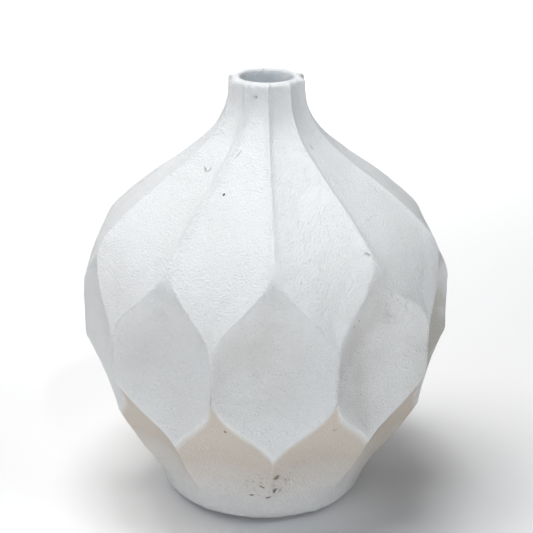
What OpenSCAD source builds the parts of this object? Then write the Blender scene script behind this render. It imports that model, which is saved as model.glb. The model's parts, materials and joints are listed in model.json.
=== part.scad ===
// Faceted bottle vase: a hollow cast body with three rows of scooped facets,
// a sealing coat inside its belly and small felt pads under its foot.
// The origin is on the surface that the vase stands on, on the vase's axis, +Z up.

/* [Overall] */
// Height from the standing surface to the top of the rim
height = 218; // [213:1:225]
// Radius at the waist corners, where the vase is widest
waist_r = 93.4; // [90:0.2:96]
// Radius of the round foot where its edge starts to round over
foot_r = 52; // [48:0.5:54]

/* [Neck] */
// Outer radius of the rim on a ridge
rim_r = 19.8; // [19:0.2:22]
// Radius of the mouth and of the straight bore below it
mouth_r = 13; // [11:0.5:13.5]
// Length of the straight bore, measured down from the rim
bore_l = 34; // [30:1:36]
// How far the flutes cut into the rim between two ridges
flute_d = 3; // [2:0.1:3.4]
// How far a ridge stands out above the flutes beside it
crest_h = 1.7; // [1:0.1:2.4]

/* [Facets] */
// Number of facets in each row
facet_n = 10; // [9:1:12]
// Height of the upper tips, where the neck ridges end
tip_z = 142; // [138:1:146]
// Height of the upper waist corners
corner_top_z = 105.5; // [102:0.5:108]
// Height of the lower waist corners
corner_low_z = 83.5; // [81:0.5:87]
// Height of the lower tips
low_tip_z = 52; // [48:1:56]
// Height at which the lowest facets have faded into the round foot
foot_z = 14; // [12:1:17]
// Radius at the bottom of the scoop in a middle facet
dish_r = 77.8; // [77.2:0.2:81]

/* [Wall] */
// Thickness of the floor
floor_t = 10; // [8:0.5:12]
// Least thickness of the wall behind the facets
wall_t = 7; // [6:0.5:8]
// Thickness of the sealing coat
coat_t = 0.8; // [0.6:0.1:1]

/* [Pads] */
// Diameter of a felt pad
pad_d = 14; // [10:1:16]
// Thickness of a felt pad
pad_t = 1; // [0.8:0.1:2]
// Radius of the circle that the pads sit on
pad_ring_r = 34; // [30:1:36]

/* [Hidden] */
$fn = 96;

plaster_white = [0.93, 0.93, 0.91];
coat_grey = [0.66, 0.70, 0.76];
felt_grey = [0.45, 0.44, 0.42];

// Mesh density: columns in one facet, then rows in each of the three zones
facet_cols = 10;
upper_rows = 15;
middle_rows = 7;
lower_rows = 7;
cols = facet_n * facet_cols;

// Rounding of the outer lip and of the foot; the lip dips a little towards the mouth
lip_round = 2.2;
lip_dip = 3;
foot_round = 9;
round_rows = 4;

// Rings of the neck ridge and of the middle of an upper facet, from low to high:
// [height, radius]. The first ring of the ridge is below its tip, as a guide only.
neck_h = height - tip_z;
ridge_rings = [
    [corner_low_z, waist_r + 4], [119, waist_r - 0.6], [tip_z, waist_r - 8.1],
    [tip_z + 0.11 * neck_h, 78.3], [tip_z + 0.29 * neck_h, 62.3], [tip_z + 0.47 * neck_h, 43.2],
    [tip_z + 0.64 * neck_h, 28.2], [tip_z + 0.82 * neck_h, rim_r + 1.4], [height, rim_r]];
petal_rings = [
    [corner_top_z, waist_r], [119, waist_r - 1.6], [136, waist_r - 7.8],
    [tip_z + 0.11 * neck_h, 74.3], [tip_z + 0.29 * neck_h, 57.7], [tip_z + 0.47 * neck_h, 39.6],
    [tip_z + 0.64 * neck_h, 26], [tip_z + 0.82 * neck_h, rim_r],
    [height, rim_r - flute_d + crest_h]];
// Rings of a lower ridge and of the middle of a lower facet
low_ridge_rings = [
    [pad_t, foot_r - 1], [foot_z, foot_r + 4], [33, foot_r + 17],
    [low_tip_z, foot_r + 28], [corner_low_z, waist_r + 2]];
low_petal_rings = [
    [pad_t, foot_r - 1], [foot_z, foot_r + 3], [33, foot_r + 9],
    [low_tip_z, foot_r + 20.5], [63, foot_r + 29], [corner_low_z, waist_r]];

// How the middle facets' edges run from a tip to a corner: a quick start at the tip, an even
// stretch, and a drop at the corner. Each is [start share, drop share, power of the drop].
upper_run = [0.12, 0.18, 12];
lower_run = [0.05, 0.30, 9];

// A ridge falls away to its sides over crest_w, and rises over crest_fade_h above its tip
crest_w = 1.7;
crest_fade_h = 14;

// How a middle facet rolls over into its upper tip
brow = 52;
brow_power = 8;

// Cavity: rings of the belly below the straight bore, from low to high
bore_z = height - bore_l;
belly_rings = [
    [pad_t + floor_t, 26], [pad_t + floor_t + 4, 36], [33, foot_r], [low_tip_z, foot_r + 12.5],
    [77, 76.5 - wall_t], [107, 76.5 - wall_t], [130, 73 - wall_t], [150, 62 - wall_t],
    [164, 49 - wall_t], [175, 34 - wall_t], [bore_z, mouth_r]];
belly_steps = 4;
mouth_round = 1.6;
mouth_arc_steps = 5;
over = 1;

pad_edge = 0.3;
pad_angles = [45, 135, 225, 315];

// Slope of a ring list at ring i
function slope(p, i) =
    let (a = max(i - 1, 0), b = min(i + 1, len(p) - 1))
    (p[b][1] - p[a][1]) / (p[b][0] - p[a][0]);

// Index of the ring below height z
function ring_below(p, z, i = 0) =
    i >= len(p) - 2 || z < p[i + 1][0] ? i : ring_below(p, z, i + 1);

// Radius of a smooth curve through a ring list, at height z
function ring_radius(p, z) =
    let (i = ring_below(p, z), h = p[i + 1][0] - p[i][0], t = (z - p[i][0]) / h)
    (2 * t^3 - 3 * t^2 + 1) * p[i][1] + (t^3 - 2 * t^2 + t) * h * slope(p, i)
    + (3 * t^2 - 2 * t^3) * p[i + 1][1] + (t^3 - t^2) * h * slope(p, i + 1);

function mix(a, b, t) = a + (b - a) * t;

// Place across half a facet: 0 on a neck ridge, 1 halfway between two ridges
function across(col) = 1 - abs(2 * (col % facet_cols) / facet_cols - 1);

// Share of the way from a tip to a corner
function edge_fall(m, run) =
    run[0] * (1 - (1 - m)^8) + (1 - run[0] - run[1]) * m + run[1] * m^run[2];

// Height of the upper and of the lower edge of the middle facets
function upper_edge(m) = mix(tip_z, corner_top_z, edge_fall(m, upper_run));
function lower_edge(m) = mix(low_tip_z, corner_low_z, edge_fall(m, lower_run));

// Depth of the flutes below a ridge's crest, at place m and height z
function flute(m, z) =
    let (aside = m * PI / facet_n * ring_radius(ridge_rings, z))
    crest_h * (1 - exp(-(aside / crest_w)^2)) * min(1, max(0, (z - upper_edge(m)) / crest_fade_h));

function upper_r(m, z) =
    mix(ring_radius(petal_rings, z), ring_radius(ridge_rings, z), (1 - m)^2) - flute(m, z);
function lower_r(m, z) =
    mix(ring_radius(low_petal_rings, z), ring_radius(low_ridge_rings, z), (1 - m)^2);

// Middle facet at share t of the way from its lower edge to its upper edge: a bowl that
// rises to the waist corners on each side and to the two edges above and below
function middle_r(m, t) =
    mix(mix(dish_r, waist_r, m^2),
        mix(lower_r(m, lower_edge(m)), upper_r(m, upper_edge(m)), t),
        (2 * t - 1)^2)
    + brow * (1 - m)^3 * t^brow_power * (1 - t);

// One column of the outside, from the foot to the rim: [radius, height]
function foot_arc(m) = [for (i = [0:round_rows])
    let (a = 90 * i / round_rows)
    [lower_r(m, pad_t + foot_round) - foot_round * (1 - sin(a)), pad_t + foot_round * (1 - cos(a))]];
function lip_arc(m) = [for (i = [0:round_rows])
    let (a = 90 * i / round_rows)
    [upper_r(m, height - lip_round) - lip_round * (1 - cos(a)), height - lip_round * (1 - sin(a))]];
function column(m) = concat(
    foot_arc(m),
    [for (i = [1:lower_rows]) let (z = mix(pad_t + foot_round, lower_edge(m), i / lower_rows))
        [lower_r(m, z), z]],
    [for (i = [1:middle_rows]) let (t = i / middle_rows)
        [middle_r(m, t), mix(lower_edge(m), upper_edge(m), t)]],
    [for (i = [1:upper_rows - 1])
        let (z = mix(upper_edge(m), height - lip_round, i / upper_rows)) [upper_r(m, z), z]],
    lip_arc(m));

// Solid with the outer shape of the vase
module outer_form() {
    half = [for (c = [0:facet_cols - 1]) column(across(c))];
    rows = len(half[0]);
    rings = [for (j = [0:rows - 1]) for (c = [0:cols - 1])
        let (p = half[c % facet_cols][j], a = 360 * c / cols - 90)
        [p[0] * cos(a), p[0] * sin(a), p[1]]];
    sides = [for (j = [0:rows - 2]) for (c = [0:cols - 1])
        let (d = (c + 1) % cols, a = j * cols + c, b = j * cols + d)
        for (tri = [[a, a + cols, b + cols], [a, b + cols, b]]) tri];
    base = [for (c = [0:cols - 1]) c];
    top = [for (c = [0:cols - 1])
        [(rows - 1) * cols + c, rows * cols, (rows - 1) * cols + (c + 1) % cols]];
    polyhedron(points = concat(rings, [[0, 0, height - lip_dip]]),
               faces = concat(sides, [base], top), convexity = 6);
}

// Half outline of the belly, shrunk by inset, from the floor up to the straight bore
function belly_outline(inset) =
    let (p = belly_rings, n = (len(p) - 1) * belly_steps)
    [for (k = [0:n])
        let (i = min(floor(k / belly_steps), len(p) - 2), t = k / belly_steps - i,
             z = mix(p[i][0], p[i + 1][0], t))
        [ring_radius(p, z) - inset, z + (k == 0 ? inset : 0)]];

// Half outline of the bore and of the rounded inner edge of the mouth
mouth_outline = concat(
    [for (i = [0:mouth_arc_steps]) let (a = 90 * i / mouth_arc_steps)
        [mouth_r + mouth_round * (1 - cos(a)), height - mouth_round * (1 - sin(a))]],
    [[mouth_r + mouth_round, height + over], [0, height + over]]);

// The whole hollow, from the floor to above the rim
module hollow() {
    outline = belly_outline(0);
    rotate_extrude()
        polygon(concat([[0, outline[0][1]]], outline, mouth_outline));
}

module vase_body() {
    color(plaster_white)
        difference() {
            outer_form();
            hollow();
        }
}

module sealing_coat() {
    outside = belly_outline(0);
    inside = belly_outline(coat_t);
    last = len(inside) - 1;
    color(coat_grey)
        rotate_extrude()
            polygon(concat(
                [[0, outside[0][1]]], outside,
                [for (i = [last:-1:0]) inside[i]], [[0, inside[0][1]]]));
}

module foot_pad(angle) {
    color(felt_grey)
        rotate([0, 0, angle])
            translate([pad_ring_r, 0, 0]) {
                cylinder(r1 = pad_d / 2 - pad_edge, r2 = pad_d / 2, h = pad_edge);
                translate([0, 0, pad_edge]) cylinder(d = pad_d, h = pad_t - pad_edge);
            }
}

vase_body();
sealing_coat();
foot_pad(pad_angles[0]);  // foot_pad_1
foot_pad(pad_angles[1]);  // foot_pad_2
foot_pad(pad_angles[2]);  // foot_pad_3
foot_pad(pad_angles[3]);  // foot_pad_4
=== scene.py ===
"""Looks of a faceted bottle vase: a cast plaster shell with a sanded white surface, three rows of
scooped facets, a ridged neck, a blue-grey coated mouth and felt pads. Lengths marked _MM are in
millimetres; everything that reaches Blender is in metres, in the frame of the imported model."""

import json
from math import cos, pi, radians, sin

import bpy
import numpy as np
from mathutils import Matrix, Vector


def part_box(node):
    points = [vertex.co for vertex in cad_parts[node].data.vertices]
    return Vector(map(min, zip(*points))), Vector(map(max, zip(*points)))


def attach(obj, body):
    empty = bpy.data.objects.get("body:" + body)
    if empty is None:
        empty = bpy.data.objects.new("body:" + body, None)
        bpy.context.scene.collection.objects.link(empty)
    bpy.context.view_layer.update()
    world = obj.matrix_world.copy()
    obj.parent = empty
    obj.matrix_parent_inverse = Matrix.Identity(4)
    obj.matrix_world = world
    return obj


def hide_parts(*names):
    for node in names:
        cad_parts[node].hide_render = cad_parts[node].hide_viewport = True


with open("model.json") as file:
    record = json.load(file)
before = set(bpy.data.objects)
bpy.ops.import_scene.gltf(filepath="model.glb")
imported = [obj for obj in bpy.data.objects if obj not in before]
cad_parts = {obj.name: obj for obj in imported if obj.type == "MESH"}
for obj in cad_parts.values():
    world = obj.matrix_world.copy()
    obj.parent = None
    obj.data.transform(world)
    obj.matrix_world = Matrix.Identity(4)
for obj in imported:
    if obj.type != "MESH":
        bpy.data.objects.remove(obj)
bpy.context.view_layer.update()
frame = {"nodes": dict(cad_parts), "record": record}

MM = 0.001
SEED = 7

# ---------------------------------------------------------------- sizes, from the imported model
body_low, body_high = (Vector(p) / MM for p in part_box("vase_body"))
TOP = body_high.z                      # rim
FOOT = body_low.z                      # underside of the foot, on top of the pads
WAIST_R = body_high.x                  # at the waist corners
MOUTH = next(m for m in frame["record"]["mounts"] if m["name"] == "mouth")
MOUTH_R = MOUTH["dims"]["r_mm"]

# ---------------------------------------------------------------- the nominal form
FACETS = 10
PITCH = 2 * pi / FACETS
FOOT_R = 52.0
RIM_R = 19.8
FLUTE_MM = 2.5
TIP_Z = 142.0                          # upper tips, where the neck ridges end
CORNER_TOP_Z = 105.5
CORNER_LOW_Z = 83.5
LOW_TIP_Z = 52.0
DISH_R = 77.8                          # radius at the bottom of a middle facet
CREST_MM, CREST_W = 1.7, 1.7           # how far a neck ridge stands out, and how fast it falls away
CREST_FADE_MM = 14.0
BROW, BROW_POWER = 85.0, 5             # how a middle facet rolls over into its upper tip
UPPER_TIP, UPPER_DROP, UPPER_POWER = 0.12, 0.18, 12
LOWER_TIP, LOWER_DROP, LOWER_POWER = 0.05, 0.30, 9
LIP_ROUND, FOOT_ROUND, MOUTH_ROUND = 2.2, 9.0, 1.6
WALL = 7.0
NECK_H = TOP - TIP_Z

# Hand cutting: how far each tip and corner lies above its even height, going round from the front
TIP_LIFT = [4.9, 4.4, -3.7, 1.5, -1.8, 0.9, -1.2, 1.6, -2.4, 2.0]
CORNER_LIFT = [0.2, 0.3, -1.2, 1.4, -0.8, 0.6, 1.1, -0.9, -3.4, 0.8]
LOW_CORNER_LIFT = [2.4, -0.8, 0.9, -1.3, 0.5, 1.2, -0.6, 0.8, -2.2, 3.6]
LOW_TIP_LIFT = [-1.7, 0.4, 1.0, -1.1, 0.7, -0.6, 1.2, -0.8, 0.6, 0.0]
FRONT_GATHER = radians(1.9)            # the ridges beside the front one lean towards it
FOOT_LUMP = [27.0, 50.5, 5.5]          # a drip left on the foot: turn in degrees, radius, height
RIM_DIP = 2.0                          # the rim is this much lower in front than behind
FOOT_DRIFT = -2.0                      # the foot sits a little to the left of the belly

# Rings [height, radius] of the curves that the facets hang between
RIDGE_RINGS = [
    [CORNER_LOW_Z, WAIST_R + 4], [119, WAIST_R - 0.6], [TIP_Z, WAIST_R - 8.1],
    [TIP_Z + 0.11 * NECK_H, 78.3], [TIP_Z + 0.29 * NECK_H, 62.3], [TIP_Z + 0.47 * NECK_H, 43.2],
    [TIP_Z + 0.64 * NECK_H, 28.2], [TIP_Z + 0.82 * NECK_H, RIM_R + 1.4], [TOP, RIM_R]]
PETAL_RINGS = [
    [CORNER_TOP_Z, WAIST_R], [119, WAIST_R - 1.6], [136, WAIST_R - 7.8],
    [TIP_Z + 0.11 * NECK_H, 74.3], [TIP_Z + 0.29 * NECK_H, 57.7], [TIP_Z + 0.47 * NECK_H, 39.6],
    [TIP_Z + 0.64 * NECK_H, 26.0], [TIP_Z + 0.82 * NECK_H, RIM_R],
    [TOP, RIM_R - FLUTE_MM + CREST_MM]]
LOW_RIDGE_RINGS = [
    [FOOT, FOOT_R - 1], [14, FOOT_R + 4], [33, FOOT_R + 17],
    [LOW_TIP_Z, FOOT_R + 28], [CORNER_LOW_Z, WAIST_R + 2]]
LOW_PETAL_RINGS = [
    [FOOT, FOOT_R - 1], [14, FOOT_R + 3], [33, FOOT_R + 9],
    [LOW_TIP_Z, FOOT_R + 20.5], [63, FOOT_R + 29], [CORNER_LOW_Z, WAIST_R]]
BELLY_RINGS = [
    [FOOT + 10, 26], [FOOT + 14, 36], [33, FOOT_R], [LOW_TIP_Z, FOOT_R + 12.5],
    [77, 76.5 - WALL], [107, 76.5 - WALL], [130, 73 - WALL], [150, 62 - WALL],
    [164, 49 - WALL], [175, 34 - WALL], [TOP - 34, MOUTH_R]]


def mix(a, b, t):
    return a + (b - a) * t


def ring_radius(rings, z):
    """Radius of the smooth curve through a ring list, at heights z."""
    p = np.array(rings, float)
    zs, rs = p[:, 0], p[:, 1]
    slope = np.gradient(rs)
    slope[1:-1] = (rs[2:] - rs[:-2]) / (zs[2:] - zs[:-2])
    slope[0] = (rs[1] - rs[0]) / (zs[1] - zs[0])
    slope[-1] = (rs[-1] - rs[-2]) / (zs[-1] - zs[-2])
    i = np.clip(np.searchsorted(zs, z, side="right") - 1, 0, len(zs) - 2)
    h = zs[i + 1] - zs[i]
    t = (z - zs[i]) / h
    return ((2 * t**3 - 3 * t**2 + 1) * rs[i] + (t**3 - 2 * t**2 + t) * h * slope[i]
            + (3 * t**2 - 2 * t**3) * rs[i + 1] + (t**3 - t**2) * h * slope[i + 1])


def across(angle):
    """Place across half a facet: 0 on a neck ridge, 1 halfway between two ridges."""
    turn = (angle / PITCH) % 1.0
    return 1 - np.abs(2 * turn - 1)


def tip_lift(lifts, angle):
    return np.array(lifts)[np.rint(angle / PITCH).astype(int) % FACETS]


def corner_lift(lifts, angle):
    return np.array(lifts)[np.floor(angle / PITCH).astype(int) % FACETS]


def edge_fall(m, tip, drop, power):
    """Share of the way from a tip to a corner: quick at the tip, even, then a drop at the corner."""
    return tip * (1 - (1 - m)**8) + (1 - tip - drop) * m + drop * m**power


def upper_edge(angle):
    fall = edge_fall(across(angle), UPPER_TIP, UPPER_DROP, UPPER_POWER)
    return mix(TIP_Z + tip_lift(TIP_LIFT, angle),
               CORNER_TOP_Z + corner_lift(CORNER_LIFT, angle), fall)


def lower_edge(angle):
    fall = edge_fall(across(angle), LOWER_TIP, LOWER_DROP, LOWER_POWER)
    return mix(LOW_TIP_Z + tip_lift(LOW_TIP_LIFT, angle),
               CORNER_LOW_Z + corner_lift(LOW_CORNER_LIFT, angle), fall)


def upper_r(angle, z):
    m = across(angle)
    ridge = ring_radius(RIDGE_RINGS, z)
    body = mix(ring_radius(PETAL_RINGS, z), ridge, (1 - m) ** 2)
    fade = np.clip((z - upper_edge(angle)) / CREST_FADE_MM, 0, 1)
    return body - CREST_MM * (1 - np.exp(-(m * PITCH / 2 * ridge / CREST_W) ** 2)) * fade


def lower_r(angle, z):
    m = across(angle)
    return mix(ring_radius(LOW_PETAL_RINGS, z), ring_radius(LOW_RIDGE_RINGS, z), (1 - m) ** 2)


def facet_r(angle, z):
    """Radius of the sharp-edged form at an angle from a ridge and a height."""
    m = across(angle)
    low, high = lower_edge(angle), upper_edge(angle)
    t = np.clip((z - low) / (high - low), 0, 1)
    bowl = mix(DISH_R, WAIST_R, m**2)
    edges = mix(lower_r(angle, low), upper_r(angle, high), t)
    middle = mix(bowl, edges, (2 * t - 1) ** 2) + BROW * (1 - m)**3 * t**BROW_POWER * (1 - t)
    return np.where(z > high, upper_r(angle, z), np.where(z < low, lower_r(angle, z), middle))


def softened_r(angle, z, blur):
    """The same form with its edges rounded over: the average over a small patch of the wall."""
    steps = np.array([-2, -1, 0, 1, 2]) / 2
    weights = np.array([1, 3, 4, 3, 1])
    r0 = facet_r(angle, z)
    total, weight_sum = np.zeros_like(r0), 0
    for su, wu in zip(steps, weights):
        for sz, wz in zip(steps, weights):
            zz = np.clip(z + sz * blur, FOOT, TOP)
            total += wu * wz * facet_r(angle + su * blur / r0, zz)
            weight_sum += wu * wz
    return total / weight_sum


# ---------------------------------------------------------------- grain and hand finish
def lattice(ix, iy, iz, seed):
    """A fixed random number from -1 to 1 for each whole-number point."""
    h = (ix * 374761393 + iy * 668265263 + iz * 1442695041 + seed * 1013904223) & 0xFFFFFFFF
    h = ((h ^ (h >> 13)) * 1274126177) & 0xFFFFFFFF
    return ((h ^ (h >> 16)) & 0xFFFF) / 32767.5 - 1


def noise(points, cell, seed):
    """Smooth random field from -1 to 1 with lumps about one cell wide."""
    q = points / cell
    base = np.floor(q).astype(np.int64)
    f = q - base
    f = f * f * (3 - 2 * f)
    out = np.zeros(len(points))
    for dx in (0, 1):
        for dy in (0, 1):
            for dz in (0, 1):
                w = (np.where(dx, f[:, 0], 1 - f[:, 0]) * np.where(dy, f[:, 1], 1 - f[:, 1])
                     * np.where(dz, f[:, 2], 1 - f[:, 2]))
                out += w * lattice(base[:, 0] + dx, base[:, 1] + dy, base[:, 2] + dz, seed)
    return out


# ---------------------------------------------------------------- mesh of the shell
COLS = 420                             # round the outside
INNER_COLS = 210                       # round the hollow
ROWS_LOW, ROWS_MID, ROWS_UP = 34, 56, 78
ARC_ROWS = 6
CREST_BLUR = 0.9                       # reach of the rounding of all edges
SOLE_RINGS = [(43.5, COLS // 2), (42, COLS // 4), (26, COLS // 4), (10, COLS // 4)]
PLASTER, COAT = 0, 1                   # material numbers on the shell
GRAIN_SINK = 0.45                      # the finish lies this far inside the form
LUMP_MM, LUMP_SPREAD_MM = 1.2, 2.0
RIM_DIP_DEPTH = 26                     # the rim's tilt fades out over this much of the neck


def outer_rows(angle):
    """Heights of the outside rows in one column: they follow the facet edges."""
    low, high = lower_edge(angle), upper_edge(angle)
    foot_top = FOOT + FOOT_ROUND
    lip_low = TOP - LIP_ROUND
    zone = [foot_top + (low - foot_top) * k / ROWS_LOW for k in range(ROWS_LOW)]
    zone += [low + (high - low) * k / ROWS_MID for k in range(ROWS_MID)]
    zone += [high + (lip_low - high) * k / ROWS_UP for k in range(ROWS_UP + 1)]
    return np.array(zone)


def outer_grid():
    """Points of the outside, rows from the foot to the lip, in millimetres."""
    angle = np.arange(COLS) * 2 * pi / COLS
    z = outer_rows(angle)
    r = softened_r(np.broadcast_to(angle, z.shape), z, CREST_BLUR)
    arcs = np.linspace(0, pi / 2, ARC_ROWS + 1)
    foot = [(r[0] - FOOT_ROUND * (1 - sin(a)), FOOT + FOOT_ROUND * (1 - cos(a)) + 0 * r[0])
            for a in arcs[:-1]]
    lip = [(r[-1] - LIP_ROUND * (1 - cos(a)), TOP - LIP_ROUND * (1 - sin(a)) + 0 * r[0])
           for a in arcs[1:]]
    rr = np.array([p[0] for p in foot] + list(r) + [p[0] for p in lip])
    zz = np.array([p[1] for p in foot] + list(z) + [p[1] for p in lip])
    wrapped = (angle + pi) % (2 * pi) - pi
    gather = np.where(np.abs(wrapped) < 2 * PITCH, np.sin(wrapped / PITCH * pi / 2), 0)
    lean = np.clip((zz - CORNER_TOP_Z) / (TIP_Z - CORNER_TOP_Z), 0, 1)
    around = angle - FRONT_GATHER * gather * lean - pi / 2
    drift = FOOT_DRIFT * np.clip(1 - zz / LOW_TIP_Z, 0, 1)
    return np.stack([rr * np.cos(around) + drift, rr * np.sin(around), zz], -1)


def grid_normals(grid):
    """Unit normals of a grid of rows that closes round on itself."""
    du = np.roll(grid, -1, 1) - np.roll(grid, 1, 1)
    dv = np.gradient(grid, axis=0)
    n = np.cross(du, dv)
    return n / np.linalg.norm(n, axis=-1, keepdims=True)


def hand_finish(grid):
    """Moves the outside in and out: slow unevenness, soft lumps, coarse sand and one drip."""
    flat = grid.reshape(-1, 3)
    move = 0.35 * noise(flat, 48, SEED) + 0.16 * noise(flat, 13, SEED + 1)
    move += 0.10 * noise(flat, 4.6, SEED + 2) + 0.07 * noise(flat, 2.3, SEED + 3)
    turn, radius, height = FOOT_LUMP
    around = radians(turn - 90)
    lump = np.array([radius * cos(around), radius * sin(around), height])
    move += LUMP_MM * np.exp(-((flat - lump) ** 2).sum(1) / LUMP_SPREAD_MM**2)
    return grid + grid_normals(grid) * (move - GRAIN_SINK).reshape(grid.shape[:2] + (1,))


def tilt_rim(grid):
    """Lowers the front of the rim; the tilt fades out down the neck."""
    share = np.clip((grid[..., 2] - TOP + RIM_DIP_DEPTH) / RIM_DIP_DEPTH, 0, 1)
    lowered = grid.copy()
    lowered[..., 2] -= RIM_DIP / 2 * np.clip(1 - grid[..., 1] / RIM_R, 0, 2) * share
    return lowered


def revolve(outline, cols):
    """Grid of a half outline [(radius, height), ...] turned round the axis."""
    angle = np.arange(cols) * 2 * pi / cols - pi / 2
    r = np.array([p[0] for p in outline])[:, None]
    z = np.array([p[1] for p in outline])[:, None] + 0 * angle
    return np.stack([r * np.cos(angle), r * np.sin(angle), z], -1)


def inner_outline():
    """Half outline of the hollow, from the lip down to the middle of the floor."""
    flare = [(MOUTH_R + MOUTH_ROUND * (1 - cos(a)), TOP - MOUTH_ROUND * (1 - sin(a)))
             for a in np.linspace(pi / 2, 0, ARC_ROWS)]
    bore = [(MOUTH_R, z) for z in np.linspace(TOP - MOUTH_ROUND - 1.5, BELLY_RINGS[-1][0], 22)]
    heights = np.linspace(BELLY_RINGS[-1][0] - 3, BELLY_RINGS[0][0], 40)
    belly = [(float(ring_radius(BELLY_RINGS, z)), float(z)) for z in heights]
    floor = [(r, BELLY_RINGS[0][0]) for r in (18, 10, 4)]
    return flare + bore + belly + floor


def stitch(rows_a, rows_b):
    """Quads between two rings of vertex numbers of one length, or triangles where the second
    ring has half as many."""
    n = len(rows_a)
    if len(rows_b) == n:
        return [(rows_a[i], rows_a[(i + 1) % n], rows_b[(i + 1) % n], rows_b[i]) for i in range(n)]
    half = len(rows_b)
    out = []
    for k in range(half):
        a0, a1, a2 = rows_a[2 * k], rows_a[2 * k + 1], rows_a[(2 * k + 2) % n]
        b0, b1 = rows_b[k], rows_b[(k + 1) % half]
        out += [(a0, a1, b0), (a1, b1, b0), (a1, a2, b1)]
    return out


def shell_mesh():
    """One closed mesh: outside, lip, bore, belly, inner floor and underside. Gives the points
    in metres, the faces, and each face's material number."""
    outside = tilt_rim(hand_finish(outer_grid()))
    inside = tilt_rim(revolve(inner_outline(), INNER_COLS))
    flat = inside.reshape(-1, 3)
    swell = 0.22 * noise(flat, 7, SEED + 5) + 0.12 * noise(flat, 2.6, SEED + 6)
    share = swell / np.linalg.norm(flat[:, :2], axis=1)
    inside[..., :2] *= 1 + share.reshape(inside.shape[:2] + (1,))

    verts, faces, zone = [], [], []

    def add_ring(points):
        first = len(verts)
        verts.extend(points.tolist())
        return list(range(first, len(verts)))

    rings = [add_ring(row) for row in outside]
    for a, b in zip(rings, rings[1:]):
        quads = stitch(a, b)
        faces.extend(quads)
        zone.extend([PLASTER] * len(quads))
    inner_rings = [add_ring(row) for row in inside]
    for i, (a, b) in enumerate(zip([rings[-1]] + inner_rings, inner_rings)):
        quads = stitch(a, b)
        faces.extend(quads)
        zone.extend([COAT if i >= ARC_ROWS else PLASTER] * len(quads))
    faces.append(tuple(inner_rings[-1]))
    zone.append(COAT)
    below = rings[0]
    for r, n in SOLE_RINGS:
        ring = add_ring(revolve([(r, FOOT)], n)[0])
        tris = [tuple(reversed(f)) for f in stitch(below, ring)]
        faces.extend(tris)
        zone.extend([PLASTER] * len(tris))
        below = ring
    faces.append(tuple(reversed(below)))
    zone.append(PLASTER)
    return np.array(verts) * MM, faces, zone


# Where the painted shade sits: each share fades in over a few millimetres from a facet's edge
GREY_FADE_MM = 24.0                    # below an upper edge
EDGE_FADE_MM = 5.0                     # either side of a lower edge
WARM_RISE_MM = 32.0                    # above the foot's rounding
LEE_FADE_MM = 10.0                     # below an upper edge, on the far right side


def ease_in(distance, length):
    """0 up to the start, 1 from one length on."""
    return np.clip(distance / length, 0, 1)


def painted_facet_shade(points):
    """Two shares of painted shade for each point: a grey painted shade on a middle facet, and a
    warm painted shade on a lower facet. The grey is heavier on the left of each facet,
    on the right half of the vase, and over all of its far right side."""
    angle = np.arctan2(points[:, 1], points[:, 0]) + pi / 2
    z = points[:, 2]
    low, high = lower_edge(angle), upper_edge(angle)
    inside = np.hypot(points[:, 0], points[:, 1]) < MOUTH_R + LIP_ROUND
    side = (angle / PITCH - np.rint(angle / PITCH)) * 2
    rightward = np.sin(angle)
    # painted shade: grey in the upper part of each middle facet, heavier on its left and on the
    # right half of the vase
    grey = ease_in(high - z, GREY_FADE_MM) * ease_in(z - low, high - low) ** 0.5
    grey *= ease_in(z - low, EDGE_FADE_MM) * np.clip(0.62 - 0.95 * side, 0, 1.6)
    grey *= 1 + 0.6 * rightward
    # painted shade over the far right side of the vase, which faces away from the lamps
    lee_shade = np.clip(4 * rightward - 2.9, 0, 1) * ease_in(high - z, LEE_FADE_MM)
    grey = np.maximum(grey, 1.8 * lee_shade)
    # painted shade, tinted warm, on the lower facets that face down
    warm = ease_in(low - z, EDGE_FADE_MM) * ease_in(z - FOOT - FOOT_ROUND, WARM_RISE_MM)
    return np.where(inside, 0, grey), np.where(inside, 0, warm)


def paint(mesh, name, values):
    layer = mesh.attributes.new(name, "FLOAT", "POINT")
    layer.data.foreach_set("value", np.asarray(values, np.float32))


def build_shell():
    verts, faces, zone = shell_mesh()
    mesh = bpy.data.meshes.new("vase_shell")
    mesh.from_pydata(verts.tolist(), [], faces)
    mesh.validate()
    mesh.update()
    shell = bpy.data.objects.new("vase_shell", mesh)
    bpy.context.scene.collection.objects.link(shell)
    mesh.materials.append(plaster_material())
    mesh.materials.append(coat_material("mouth_coat"))
    mesh.polygons.foreach_set("material_index", zone)
    mesh.polygons.foreach_set("use_smooth", [True] * len(mesh.polygons))
    # the painted shade shares go on the points as two attributes
    grey, warm = painted_facet_shade(verts / MM)
    paint(mesh, "grey_painted_shade", grey)
    paint(mesh, "warm_painted_shade", warm)
    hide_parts("vase_body")
    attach(shell, "root")
    return shell


# ---------------------------------------------------------------- materials
def new_material(name, colour, roughness):
    """A node material with its shader, ready for more nodes."""
    mat = bpy.data.materials.new(name)
    mat.use_nodes = True
    nodes, links = mat.node_tree.nodes, mat.node_tree.links
    shader = nodes["Principled BSDF"]
    shader.inputs["Base Color"].default_value = (*colour, 1)
    shader.inputs["Roughness"].default_value = roughness
    return mat, nodes, links, shader


def object_noise(nodes, links, scale, detail, rough=0.5):
    """Noise fixed to the object; scale is in lumps per metre."""
    where = nodes.new("ShaderNodeTexCoord")
    tex = nodes.new("ShaderNodeTexNoise")
    tex.inputs["Scale"].default_value = scale
    tex.inputs["Detail"].default_value = detail
    tex.inputs["Roughness"].default_value = rough
    links.new(where.outputs["Object"], tex.inputs["Vector"])
    return tex


def ramp(nodes, links, source, stops):
    """Colours or greys spread over a value: stops are [(place, colour), ...]."""
    node = nodes.new("ShaderNodeValToRGB")
    for element, (place, colour) in zip(node.color_ramp.elements, stops[:2]):
        element.position = place
        element.color = (*colour, 1)
    for place, colour in stops[2:]:
        node.color_ramp.elements.new(place).color = (*colour, 1)
    links.new(source, node.inputs["Fac"])
    return node


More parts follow.
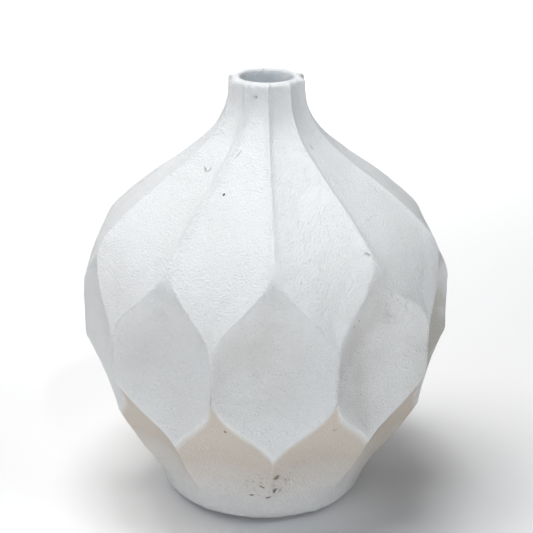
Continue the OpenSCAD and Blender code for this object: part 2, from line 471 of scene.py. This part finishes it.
def bump(nodes, links, height, distance, strength, below=None):
    node = nodes.new("ShaderNodeBump")
    node.inputs["Strength"].default_value = strength
    node.inputs["Distance"].default_value = distance
    links.new(height, node.inputs["Height"])
    if below:
        links.new(below.outputs["Normal"], node.inputs["Normal"])
    return node


def attribute(nodes, name):
    node = nodes.new("ShaderNodeAttribute")
    node.attribute_name = name
    return node.outputs["Fac"]


def maths(nodes, links, operation, first, second):
    """One sum on two values; each is a socket or a number."""
    node = nodes.new("ShaderNodeMath")
    node.operation = operation
    for socket, value in zip(node.inputs, (first, second)):
        if isinstance(value, (int, float)):
            socket.default_value = value
        else:
            links.new(value, socket)
    return node.outputs[0]


def blend(nodes, links, share, below, above):
    """Colour that goes from below to above as share goes from 0 to 1."""
    node = nodes.new("ShaderNodeMix")
    node.data_type = "RGBA"
    links.new(share, node.inputs["Factor"])
    for socket, value in zip((node.inputs["A"], node.inputs["B"]), (below, above)):
        if isinstance(value, tuple):
            socket.default_value = (*value, 1)
        else:
            links.new(value, socket)
    return node.outputs["Result"]


# Marks on the cast: [turn from the front ridge in degrees, height, radius there, half sizes
# across, along and through in millimetres, tilt in degrees with its right end up]
SCRATCHES = [
    [-51.8, 176.8, 38.1, 3.4, 0.55, 5, -24], [-47.3, 176.9, 38.2, 2.0, 0.55, 5, 66],
    [-27.9, 184.8, 30.1, 2.0, 0.5, 5, 66], [-20.3, 209.9, 17.7, 1.3, 1.1, 5, 0],
    [47.9, 186.0, 28.2, 0.8, 2.0, 5, 0], [32.9, 147.9, 79.5, 1.2, 1.0, 5, 0],
    [20.7, 65.0, 81.6, 1.5, 0.8, 5, 20], [52.0, 39.4, 63.8, 1.4, 0.9, 5, -20]]
RUST_SPOTS = [
    [1.8, 35.6, 68.1, 2.2, 2.4, 5, 0], [1.5, 24.5, 60.7, 1.5, 2.6, 5, 12],
    [-4.5, 27.5, 61.2, 2.4, 0.9, 5, -25], [-9.7, 19.8, 56.3, 1.8, 0.7, 5, 10],
    [-1.7, 19.5, 57.9, 2.0, 0.8, 5, 20], [24.5, 118.0, 87.1, 1.1, 0.9, 5, 0],
    [27.3, 119.7, 84.6, 1.0, 0.8, 5, 0], [-15.8, 66.8, 83.1, 0.9, 0.9, 5, 0]]
INK_SPOTS = [[-26.5, 170.1, 48.7, 0.62, 0.62, 4, 0]]
CAST_FLAW = [[-2.5, 28.0, 62.0, 17, 15, 12, 0]]
RIPPLES = [[42.0, 120.5, 83.5, 16, 13, 12, -30]]


def mark_mask(nodes, links, marks):
    """1 at the middle of each mark, 0 outside all of them."""
    where = nodes.new("ShaderNodeTexCoord")
    total = None
    for turn, height, radius, across_mm, along_mm, through_mm, tilt in marks:
        around = radians(turn - 90)
        place = nodes.new("ShaderNodeMapping")
        place.vector_type = "TEXTURE"
        place.inputs["Location"].default_value = (
            radius * cos(around) * MM, radius * sin(around) * MM, height * MM)
        place.inputs["Rotation"].default_value = (0, radians(-tilt), radians(turn))
        place.inputs["Scale"].default_value = (across_mm * MM, through_mm * MM, along_mm * MM)
        links.new(where.outputs["Object"], place.inputs["Vector"])
        ball = nodes.new("ShaderNodeTexGradient")
        ball.gradient_type = "SPHERICAL"
        links.new(place.outputs["Vector"], ball.inputs["Vector"])
        one = ball.outputs["Fac"]
        total = one if total is None else maths(nodes, links, "MAXIMUM", total, one)
    return total


def sharpen(nodes, links, value, low, high):
    """0 below low, 1 above high, smooth between."""
    node = nodes.new("ShaderNodeMapRange")
    node.interpolation_type = "SMOOTHSTEP"
    node.inputs["From Min"].default_value = low
    node.inputs["From Max"].default_value = high
    links.new(value, node.inputs["Value"])
    return node.outputs["Result"]


def plaster_colour_with_painted_shade(nodes, links):
    """White plaster with grey painted shade in the middle facets and warm painted shade on the lower
    ones.
    """
    tint = object_noise(nodes, links, 26, 4)
    clean = ramp(nodes, links, tint.outputs["Fac"],
                 [(0.35, (0.895, 0.905, 0.907)), (0.65, (0.93, 0.944, 0.952))]).outputs["Color"]
    patches = object_noise(nodes, links, 34, 3)
    uneven = sharpen(nodes, links, patches.outputs["Fac"], 0.25, 0.6)
    grey_share = maths(nodes, links, "MULTIPLY", attribute(nodes, "grey_painted_shade"),
                       maths(nodes, links, "MULTIPLY", uneven, 0.52))
    # painted shade: mixes the plaster towards grey-brown on the middle facets
    greyed = blend(nodes, links, grey_share, clean, (0.62, 0.60, 0.555))
    warm_share = maths(nodes, links, "MULTIPLY", attribute(nodes, "warm_painted_shade"), 0.8)
    # painted shade: mixes the plaster towards warm beige on the lower facets
    return blend(nodes, links, warm_share, greyed, (0.66, 0.585, 0.50))


def cast_marks(nodes, links):
    """Shares of scratch, rust, casting flaw and ink at each point."""
    scratches = sharpen(nodes, links, mark_mask(nodes, links, SCRATCHES), 0.0, 1.0)
    cracked = object_noise(nodes, links, 620, 3, 0.7).outputs["Fac"]
    flaw_zone = sharpen(nodes, links, mark_mask(nodes, links, CAST_FLAW), 0.0, 0.5)
    specks = sharpen(nodes, links, cracked, 0.60, 0.68)
    flaw = maths(nodes, links, "MULTIPLY", specks, flaw_zone)
    ragged = maths(nodes, links, "MULTIPLY", mark_mask(nodes, links, RUST_SPOTS),
                   sharpen(nodes, links, cracked, 0.30, 0.60))
    rust = maths(nodes, links, "MAXIMUM", sharpen(nodes, links, ragged, 0.1, 0.5),
                 maths(nodes, links, "MULTIPLY", flaw, 0.35))
    ink = sharpen(nodes, links, mark_mask(nodes, links, INK_SPOTS), 0.0, 0.4)
    return scratches, rust, flaw, ink


def grain(nodes, links, scale, detail, rough, distance, strength, below=None):
    """Bump from a noise fixed to the object."""
    lumps = object_noise(nodes, links, scale, detail, rough)
    return bump(nodes, links, lumps.outputs["Fac"], distance, strength, below)


def plaster_relief(nodes, links, dents):
    """Slow swell, ripples on one facet, coarse and fine sand, and the dents of the marks."""
    ripple_zone = sharpen(nodes, links, mark_mask(nodes, links, RIPPLES), 0.0, 0.6)
    waves = object_noise(nodes, links, 210, 1, 0.4)
    ripples = maths(nodes, links, "MULTIPLY", waves.outputs["Fac"], ripple_zone)
    hollows = maths(nodes, links, "MULTIPLY", dents, -1.0)
    relief = grain(nodes, links, 90, 2, 0.5, 0.0020, 0.5)
    relief = bump(nodes, links, ripples, 0.0035, 0.9, relief)
    relief = grain(nodes, links, 900, 3, 0.7, 0.0008, 1.0, relief)
    relief = grain(nodes, links, 1400, 2, 0.6, 0.0007, 1.0, relief)
    return bump(nodes, links, hollows, 0.0009, 1.0, relief)


def plaster_material():
    mat, nodes, links, shader = new_material("cast_plaster", (0.88, 0.885, 0.885), 0.9)
    scratches, rust, flaw, ink = cast_marks(nodes, links)
    scratched = blend(nodes, links, maths(nodes, links, "MULTIPLY", scratches, 0.25),
                      plaster_colour_with_painted_shade(nodes, links), (0.50, 0.48, 0.45))
    rusty = blend(nodes, links, maths(nodes, links, "MULTIPLY", rust, 0.75), scratched,
                  (0.24, 0.17, 0.11))
    inked = blend(nodes, links, ink, rusty, (0.05, 0.06, 0.16))
    links.new(inked, shader.inputs["Base Color"])

    pitted = maths(nodes, links, "MAXIMUM", rust, maths(nodes, links, "MULTIPLY", flaw, 0.7))
    dents = maths(nodes, links, "MAXIMUM", scratches, pitted)
    links.new(plaster_relief(nodes, links, dents).outputs["Normal"], shader.inputs["Normal"])
    shader.inputs["Specular IOR Level"].default_value = 0.2
    return mat


def coat_material(name):
    mat, nodes, links, shader = new_material(name, (0.93, 0.96, 0.98), 0.4)
    tint = object_noise(nodes, links, 160, 5)
    colours = ramp(nodes, links, tint.outputs["Fac"],
                   [(0.35, (0.86, 0.915, 0.96)), (0.60, (0.97, 0.98, 0.99))])
    links.new(colours.outputs["Color"], shader.inputs["Base Color"])
    relief = grain(nodes, links, 420, 4, 0.5, 0.0008, 0.6)
    links.new(relief.outputs["Normal"], shader.inputs["Normal"])
    return mat


def felt_material():
    mat, nodes, links, shader = new_material("felt", (0.36, 0.35, 0.33), 0.95)
    tint = object_noise(nodes, links, 1500, 4, 0.7)
    colours = ramp(nodes, links, tint.outputs["Fac"],
                   [(0.3, (0.26, 0.25, 0.235)), (0.7, (0.45, 0.44, 0.415))])
    links.new(colours.outputs["Color"], shader.inputs["Base Color"])
    shader.inputs["Sheen Weight"].default_value = 0.4
    links.new(bump(nodes, links, tint.outputs["Fac"], 0.0004, 0.8).outputs["Normal"],
              shader.inputs["Normal"])
    return mat


def dress(node, material):
    node.data.materials.clear()
    node.data.materials.append(material)


def dress_cad_nodes():
    """Gives the CAD nodes that stay visible their materials."""
    felt = felt_material()
    dress(frame["nodes"]["sealing_coat"], coat_material("sealing_coat"))
    for name, node in frame["nodes"].items():
        if name.startswith("foot_pad"):
            dress(node, felt)


# ---------------------------------------------------------------- stage, light and camera
CAMERA_DISTANCE = 0.650
CAMERA_RISE = radians(19.8)
CAMERA_TURN = radians(-2.4)
AIM_Z = 0.119
LENS_MM = 86.5
SENSOR_MM = 36.0
FLOOR_HALF = 4.0


def build_stage():
    corners = [(x * FLOOR_HALF, y * FLOOR_HALF, 0) for x, y in ((-1, -1), (1, -1), (1, 1), (-1, 1))]
    mesh = bpy.data.meshes.new("floor")
    mesh.from_pydata(corners, [], [(0, 1, 2, 3)])
    floor = bpy.data.objects.new("floor", mesh)
    bpy.context.scene.collection.objects.link(floor)
    mat, _, _, shader = new_material("pale_floor", (0.97, 0.97, 0.97), 1.0)
    shader.inputs["Specular IOR Level"].default_value = 0
    mesh.materials.append(mat)


def add_light(data, place, aim, power, colour):
    data.energy = power
    data.color = colour
    light = bpy.data.objects.new(data.name, data)
    light.location = place
    light.rotation_euler = (Vector(aim) - Vector(place)).to_track_quat("-Z", "Y").to_euler()
    bpy.context.scene.collection.objects.link(light)


def soft_light(name, place, aim, size, power, colour=(1, 1, 1)):
    data = bpy.data.lights.new(name, "AREA")
    data.shape = "DISK"
    data.size = size
    add_light(data, place, aim, power, colour)


def spot_light(name, place, aim, spread, size, power, colour=(1, 1, 1)):
    data = bpy.data.lights.new(name, "SPOT")
    data.spot_size = spread
    data.spot_blend = 1.0
    data.shadow_soft_size = size
    add_light(data, place, aim, power, colour)


def build_lights():
    """Big soft lights above and to the left, weak ones in front and to the right, a narrow one
    on the neck, and a wash on the floor behind the vase."""
    scene = bpy.context.scene
    world = bpy.data.worlds.new("studio")
    scene.world = world
    world.use_nodes = True
    world.node_tree.nodes["Background"].inputs["Strength"].default_value = 0.0
    middle = (0, 0, 0.1)
    soft_light("overhead", (0, 0, 1.7), middle, 0.5, 9.2)
    soft_light("overhead_left", (-0.35, 0.1, 1.6), middle, 0.5, 6.3)
    soft_light("key", (-0.8, 0, 1.4), middle, 0.8, 7.2, (1.02, 1.0, 0.97))
    soft_light("front_left", (-0.8, -0.8, 1.2), middle, 0.6, 1.1, (0.8, 1.0, 1.35))
    soft_light("front_low", (0, -1.8, 0.3), middle, 0.6, 8.4)
    soft_light("front_right", (0.9, -0.7, 1.4), middle, 0.5, 3.2, (0.93, 1.0, 1.08))
    soft_light("right_low", (1.6, -0.4, 0.15), middle, 0.6, 0.5, (1.1, 1.0, 0.85))
    spot_light("neck_fill", (0.35, -0.85, 1.25), (0, 0, TOP * MM), radians(4.8), 0.12, 56,
               (0.96, 1.0, 1.04))
    spot_light("floor_wash", (0, 1.5, 1.7), (0, 1.5, 0), radians(84), 0.4, 160)
    scene.view_settings.view_transform = "Standard"


def build_camera():
    data = bpy.data.cameras.new("camera")
    data.sensor_width = SENSOR_MM
    data.lens = LENS_MM
    data.clip_start = 0.01
    camera = bpy.data.objects.new("camera", data)
    aim = Vector((0, 0, AIM_Z))
    away = Vector((sin(CAMERA_TURN) * cos(CAMERA_RISE), -cos(CAMERA_TURN) * cos(CAMERA_RISE),
                   sin(CAMERA_RISE)))
    camera.location = aim + away * CAMERA_DISTANCE
    camera.rotation_euler = away.to_track_quat("Z", "Y").to_euler()
    bpy.context.scene.collection.objects.link(camera)
    bpy.context.scene.camera = camera


build_camera()
build_lights()
build_stage()
build_shell()
dress_cad_nodes()
